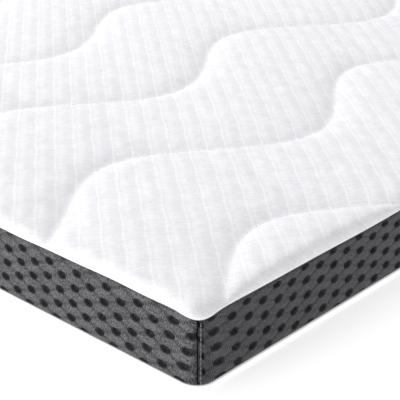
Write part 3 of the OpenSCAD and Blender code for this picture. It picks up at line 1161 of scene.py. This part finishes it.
# ---------------------------------------------------------------- label
def build_label(material, sewing):
    """A blank care label, sewn down round its edge and a little wavy."""
    low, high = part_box("care_label")
    cols, rows = 48, 22
    u, z = np.meshgrid(np.linspace(-high.x, -low.x, cols), np.linspace(low.z, high.z, rows), indexing="ij")
    u, z = u.ravel(), z.ravel()
    edge = np.minimum(np.minimum(u + high.x, -low.x - u), np.minimum(z - low.z, high.z - z))
    puff = smooth(0, 4 * MM, edge) * (0.35 + 0.2 * np.sin(u / 0.0061) + 0.12 * np.sin(z / 0.004 + u / 0.009))
    out = -(0.25 + puff) * MM
    over, under = (settle(on_side("back", u, out + t, z)) for t in (0, 0.35 * MM))
    obj = shell("care_label_cloth", over, under, grid_faces(cols, rows), (cols, rows), material)
    set_uv(obj, np.tile(np.stack([u, z], -1), (2, 1)))
    rim = 1.6 * MM
    left, right, foot, head = rim - high.x, -low.x - rim, low.z + rim, high.z - rim
    corners = [(left, foot), (right, foot), (right, head), (left, head)]
    hems = []
    for (u0, z0), (u1, z1) in zip(corners, corners[1:] + corners[:1]):
        t = np.linspace(0, 1, round(math.hypot(u1 - u0, z1 - z0) / (2.4 * MM)) + 1)
        points = on_side("back", u0 + (u1 - u0) * t, -0.4 * MM, z0 + (z1 - z0) * t)
        hems.append(stitch_row(settle(points), np.tile((0.0, 1.0, 0.0), (len(t), 1)), 0.75))
    return obj, sewn("care_label_stitches", hems, 0.2 * MM, sewing)


# ---------------------------------------------------------------- inside
FOAM_EDGE = 2.5 * MM
LINER_EDGE = 3 * MM
# Grooves across the support foam, which let it bend and breathe.
CHANNELS = [i * 200 * MM for i in range(-4, 5)]
CHANNEL = 6 * MM


def foam_pad(name, node_name, material, channels=()):
    """A foam slab with softened edges and slightly uneven faces."""
    low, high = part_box(node_name)
    lip = 0.25 * MM
    extra = [c + s * (CHANNEL / 2 + t) for c in channels for s in (-1, 1) for t in (-lip, lip)]
    x, y, depth, faces, shape = panel_grid(11 * MM, EDGE_ROWS, FOAM_IN, extra)
    fall = FOAM_EDGE * rounding(depth, FOAM_EDGE)
    uneven = 0.25 * MM * np.sin(x / 0.05 + np.sin(y / 0.08)) * np.sin(y / 0.06) - 0.3 * MM
    top = high.z - fall + uneven * smooth(0, 10 * MM, depth)
    for c in channels:
        top -= CHANNEL * (np.abs(y - c) < CHANNEL / 2)
    return shell(name, xyz(x, y, top), xyz(x, y, low.z + fall), faces, shape, material)


def liner_face(inset, lower, upper):
    """The over and under sides of a soft bag's skin, with its grid."""
    x, y, depth, faces, shape = panel_grid(12 * MM, EDGE_ROWS, inset)
    fall = LINER_EDGE * rounding(depth, LINER_EDGE)
    ripple = 0.15 * MM * np.sin(x / 0.03) * np.sin(y / 0.04 + x / 0.05) * smooth(0, 9 * MM, depth)
    return [xyz(x, y, upper - fall + ripple - 0.2 * MM), xyz(x, y, lower + fall)], faces, rim_loop(*shape)


def build_liner(material):
    """The jersey liner: a thin closed bag round both foams."""
    low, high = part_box("inner_liner")
    t = FOAM_IN - LINER_IN
    outer, faces, rim = liner_face(LINER_IN, low.z, high.z)
    inner = liner_face(FOAM_IN - 0.05 * MM, low.z + t, high.z - t)[0]
    size = len(outer[0])
    wall = np.stack([rim, rim + size, np.roll(rim, -1) + size, np.roll(rim, -1)], -1)
    out_side = np.concatenate([faces, faces[:, ::-1] + size, wall])
    in_side = out_side[:, ::-1] + 2 * size
    return new_mesh("liner_bag", np.concatenate(outer + inner), np.concatenate([out_side, in_side]), material)


# ---------------------------------------------------------------- stage
# Studio light: one large key on the camera's left and a weak fill in front.
# Each softbox has a place, a size and a power.
AMBIENT = 0.72
FLOOR_GLOW = 0.42
FLOOR_HALF = 30.0
SOFTBOXES = {"key": ((-3.1, -1.1, 2.2), 1.3, 94), "fill": ((-0.3, -3.8, 0.55), 1.6, 30)}
LIGHT_AIM = Vector((HALF_W - 0.15, 0.3 - HALF_L, SEAM_Z))

CAMERA_AZIMUTH = math.radians(42.6)
CAMERA_PITCH = math.radians(24.8)
CAMERA_LENS = 112.2
CAMERA_SENSOR = 36.0
CAMERA_AHEAD = 0.739
# Where the corner's seam lies in the frame, as shares of its width from the middle.
CORNER_RIGHT = -0.005
CORNER_BELOW = 0.3


def build_stage():
    """A pale floor and soft studio light."""
    scene = bpy.context.scene
    scene.view_settings.view_transform = "Standard"
    scene.world = bpy.data.worlds.new("studio")
    scene.world.use_nodes = True
    background = scene.world.node_tree.nodes["Background"].inputs
    background["Color"].default_value = (0.985, 0.985, 1, 1)
    background["Strength"].default_value = AMBIENT
    surface = Surface("floor", (0.95, 0.95, 0.95), 0.9, Emission_Strength=FLOOR_GLOW)
    surface.inputs["Emission Color"].default_value = (1, 1, 1, 1)
    low = cad_low.z - 0.2 * MM
    corners = [(x * FLOOR_HALF, y * FLOOR_HALF, low) for x, y in ((-1, -1), (1, -1), (1, 1), (-1, 1))]
    new_mesh("floor", corners, [(0, 1, 2, 3)], surface.material)
    for name, (place, size, power) in SOFTBOXES.items():
        light = bpy.data.lights.new(name, "AREA")
        light.shape, light.size, light.energy = "DISK", size, power
        obj = bpy.data.objects.new(name, light)
        obj.location = place
        obj.rotation_mode = "QUATERNION"
        obj.rotation_quaternion = (LIGHT_AIM - Vector(place)).to_track_quat("-Z", "Y")
        scene.collection.objects.link(obj)


def build_camera():
    """The camera: it looks down at the front right corner."""
    sa, ca = math.sin(CAMERA_AZIMUTH), math.cos(CAMERA_AZIMUTH)
    sp, cp = math.sin(CAMERA_PITCH), math.cos(CAMERA_PITCH)
    forward = Vector((-sa * cp, ca * cp, -sp))
    right = Vector((ca, sa, 0))
    up = right.cross(forward)
    aim = forward + (right * CORNER_RIGHT - up * CORNER_BELOW) * CAMERA_SENSOR / CAMERA_LENS
    data = bpy.data.cameras.new("camera")
    data.lens, data.sensor_width = CAMERA_LENS, CAMERA_SENSOR
    data.clip_start, data.clip_end = 0.01, 100
    camera = bpy.data.objects.new("camera", data)
    camera.matrix_world = Matrix((right, up, -forward)).transposed().to_4x4()
    camera.location = Vector((HALF_W, -HALF_L, SEAM_Z)) - aim * CAMERA_AHEAD
    bpy.context.scene.collection.objects.link(camera)
    bpy.context.scene.camera = camera


# ---------------------------------------------------------------- build it
build_camera()
build_stage()
LANES = simulate_lanes()

# One cloth in lit and shaded copies: the short strips' colour is painted lighter, as light falls on them, and
# the long strips' colour is painted darker, as they lie in shade.
MESH_SHORT_LIT_COLOR, MESH_LONG_SHADED_COLOR = (0.125, 0.118, 0.127), (0.05, 0.0445, 0.051)
MESH_DARK = (0.015, 0.014, 0.0155)
POCKET_COLOR = (0.06, 0.057, 0.061)
# Painted shadow: near-black colour for the folded strip ends at the corner seams.
FOLD_SHADOW_COLOR = (0.02, 0.019, 0.021)
SHORT = Lattice(15.2 * MM, 11.8 * MM, -2.8 * MM, -5.8 * MM, (HALF_W - 69.4 * MM, SEAM_Z - 25.7 * MM))
LONG = Lattice(15.6 * MM, 11.7 * MM, 1.8 * MM, 6.2 * MM, (-HALF_L + 62.8 * MM, SEAM_Z - 23.2 * MM))

white_knit = face_knit("face_knit", (0.9, 0.9, 0.92), (0.77, 0.77, 0.79))
base_knit = plain_knit("base_knit", (0.9, 0.9, 0.91), (0.82, 0.82, 0.83), 1.1 * MM)
pocket = mesh_pocket("mesh_pocket", POCKET_COLOR, MESH_LONG_SHADED_COLOR)
# Painted shadow: the pocket material again, in near-black, for the crevices at the folded strip ends.
fold = mesh_pocket("mesh_fold_shadow", FOLD_SHADOW_COLOR, FOLD_SHADOW_COLOR)
mesh_short = mesh_cloth("mesh_short", MESH_SHORT_LIT_COLOR, MESH_DARK, SHORT)
mesh_long = mesh_cloth("mesh_long", MESH_LONG_SHADED_COLOR, MESH_DARK, LONG)
white_thread = thread("white_thread", (0.92, 0.92, 0.93))
grey_thread = thread("grey_thread", (0.3, 0.3, 0.31))
dark_thread = thread("dark_thread", (0.16, 0.155, 0.16))
metal = plated("zip_metal", (0.36, 0.36, 0.38))
tape_cloth = woven_tape("zip_tape", (0.09, 0.09, 0.095))
nylon = moulded("zip_nylon", (0.05, 0.05, 0.054), 0.35)

top = piece(build_top(white_knit), "knit_white", "top_face")
flat_uv(top)
wadding = piece(build_wadding(fibres("wadding", (0.88, 0.88, 0.87))), "wadding_white", "top_wadding")
scrim = piece(build_scrim(fibres("scrim", (0.8, 0.8, 0.8))), "scrim_white", "top_backing")
base = piece(build_base(base_knit), "knit_white", "base_fabric")
flat_uv(base)

for side in SIDES:
    # Short strips take the painted-light colour, long strips the painted-shade colour.
    lattice, cloth = (SHORT, mesh_short) if side in ("front", "back") else (LONG, mesh_long)
    strip = border_strip(side, lattice, (cloth, pocket, fold))
    piece(strip, "mesh_grey", "border_" + side)

piece(build_quilting(white_thread), "thread_white", "quilting_threads")
piece(build_corner_stitches(dark_thread), "thread_grey", "corner_seam_threads")
seam = build_seam("top_seam_stitches", SEAM_Z + 0.1 * MM, 0.9 * MM, grey_thread)
piece(seam, "thread_grey", "top_seam_thread")
seam = build_seam("bottom_seam_stitches", FOOT_Z + 0.3 * MM, 0.7 * MM, grey_thread, in_window)
piece(seam, "thread_grey", "bottom_seam_thread")

for name, half, edge in (("zip_tape_top", "upper", 0), ("zip_tape_bottom", "lower", 1)):
    ends = [corner.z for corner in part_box("zip_tape_" + half)]
    tape = build_tape(name, ends[edge], ends[1 - edge], tape_cloth)
    piece(tape, "zip_tape", "zip_tape_" + half)
for half, edge, past, lag in (("upper", 1, COIL_OVERLAP, 0.0), ("lower", 0, -COIL_OVERLAP, 0.5)):
    name = "zip_coil_" + half
    coil = build_coil(name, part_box(name)[edge].z, ZIP_Z + past, lag, nylon)
    piece(coil, "zip_coil", name)
rows = []
for z in (LIP_Z + 1.45 * MM, WINDOW_Z - 1.45 * MM):
    places = zip_places(3 * MM, WINDOW_END + 2 * MM)
    rows.append(stitch_row(*outline_points(places, TAPE_IN - 0.05 * MM, z)))
piece(sewn("zip_tape_stitches", rows, 0.24 * MM, grey_thread), "thread_grey", "zip_stitching")
for name, source, width, body in (
    ("zip_slider", "zip_slider_body", 0.22 * MM, "zip_slider"),
    ("zip_tab", "zip_pull_tab", 0.2 * MM, "zip_pull"),
    ("zip_stop_top", "zip_top_stop", 0.3 * MM, "mattress"),
    ("zip_stop_end", "zip_bottom_stop", 0.3 * MM, "mattress"),
):
    piece(softened(name, source, width, metal), "zip_metal", source, body=body)

label, label_stitches = build_label(satin("label_satin", (0.85, 0.85, 0.84)), white_thread)
piece(label, "label_white", "care_label")
piece(label_stitches, "thread_white")

liner = build_liner(plain_knit("liner_jersey", (0.86, 0.86, 0.87), (0.76, 0.76, 0.77), 1.2 * MM))
flat_uv(liner)
piece(liner, "liner_white", "inner_liner")
for name, source, slot, foam_color, pore, channels in (
    ("memory_foam", "memory_foam_layer", "foam_memory", (0.86, 0.8, 0.62), 0.7 * MM, ()),
    ("support_foam", "support_foam_core", "foam_core", (0.5, 0.62, 0.72), 1.1 * MM, CHANNELS),
):
    slab = foam_pad(name + "_slab", source, foam(name, foam_color, pore), channels)
    piece(slab, slot, source)
